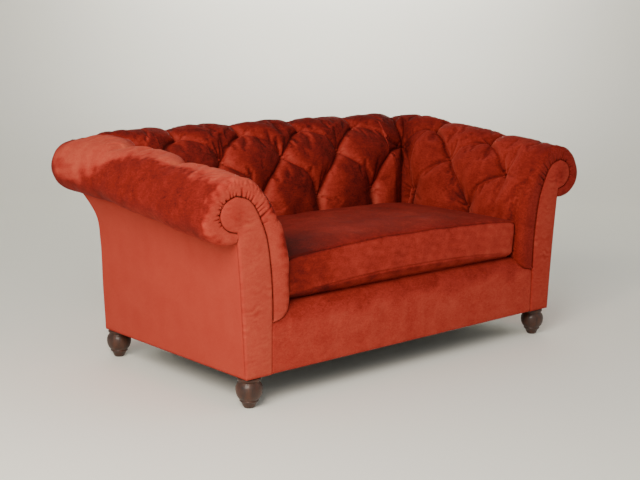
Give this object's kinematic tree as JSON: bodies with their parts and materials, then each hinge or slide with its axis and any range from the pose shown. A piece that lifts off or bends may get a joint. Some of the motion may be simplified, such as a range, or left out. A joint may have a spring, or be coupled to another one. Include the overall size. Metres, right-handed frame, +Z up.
{
  "type": "sofa",
  "caption": "Small two-seat sofa with scrolled, deep-buttoned arms and back, one loose bench cushion and turned wooden feet.",
  "frame": {"origin": "on the floor, under the middle of the sofa", "axes": "+X to the right seen from the front, +Y towards the back, +Z up"},
  "size_m": [1.729, 0.9321, 0.7731],
  "materials": {
    "velvet": "crushed pile",
    "button_velvet": "crushed pile",
    "turned_wood": "gloss lacquer",
    "hessian": "coarse weave",
    "jute_webbing": "woven",
    "deck_cloth": "plain weave",
    "black_cambric": "thin nonwoven",
    "zinc_steel": "zinc plated",
    "nylon": "moulded",
    "frame_wood": "sawn hardwood"
  },
  "bodies": {
    "frame": {"back_buttons": "button_velvet", "back_lining": "hessian", "back_pad": "velvet", "back_tack_rail": "frame_wood", "back_top_rail": "frame_wood", "corner_blocks": "frame_wood", "dust_cover": "black_cambric", "foot_bolts": "zinc_steel", "foot_glides": "nylon", "foot_plates": "zinc_steel", "front_left_foot": "turned_wood", "front_rail": "frame_wood", "front_rail_cover": "velvet", "front_right_foot": "turned_wood", "left_arm_buttons": "button_velvet", "left_arm_lining": "hessian", "left_arm_pad": "velvet", "left_arm_rib": "frame_wood", "left_arm_tack_rail": "frame_wood", "left_arm_top_rail": "frame_wood", "left_back_rib": "frame_wood", "left_front_post": "frame_wood", "left_outside_arm_panel": "velvet", "left_rear_post": "frame_wood", "left_scroll_facing": "velvet", "left_side_rail": "frame_wood", "left_top_corner_block": "frame_wood", "outside_back_panel": "velvet", "rear_left_foot": "turned_wood", "rear_rail": "frame_wood", "rear_right_foot": "turned_wood", "right_arm_buttons": "button_velvet", "right_arm_lining": "hessian", "right_arm_pad": "velvet", "right_arm_rib": "frame_wood", "right_arm_tack_rail": "frame_wood", "right_arm_top_rail": "frame_wood", "right_back_rib": "frame_wood", "right_front_post": "frame_wood", "right_outside_arm_panel": "velvet", "right_rear_post": "frame_wood", "right_scroll_facing": "velvet", "right_side_rail": "frame_wood", "right_top_corner_block": "frame_wood", "seat_cross_rail": "frame_wood", "seat_deck": "deck_cloth", "seat_edge_roll": "hessian", "seat_webbing_cross": "jute_webbing", "seat_webbing_long": "jute_webbing"},
    "cushion": {"seat_cushion": "velvet"}
  },
  "joints": [
    {"name": "cushion_lift", "type": "slide", "parent": "frame", "child": "cushion", "axis": [0, 0, 1], "range_m": [0, 0.55]}
  ]
}
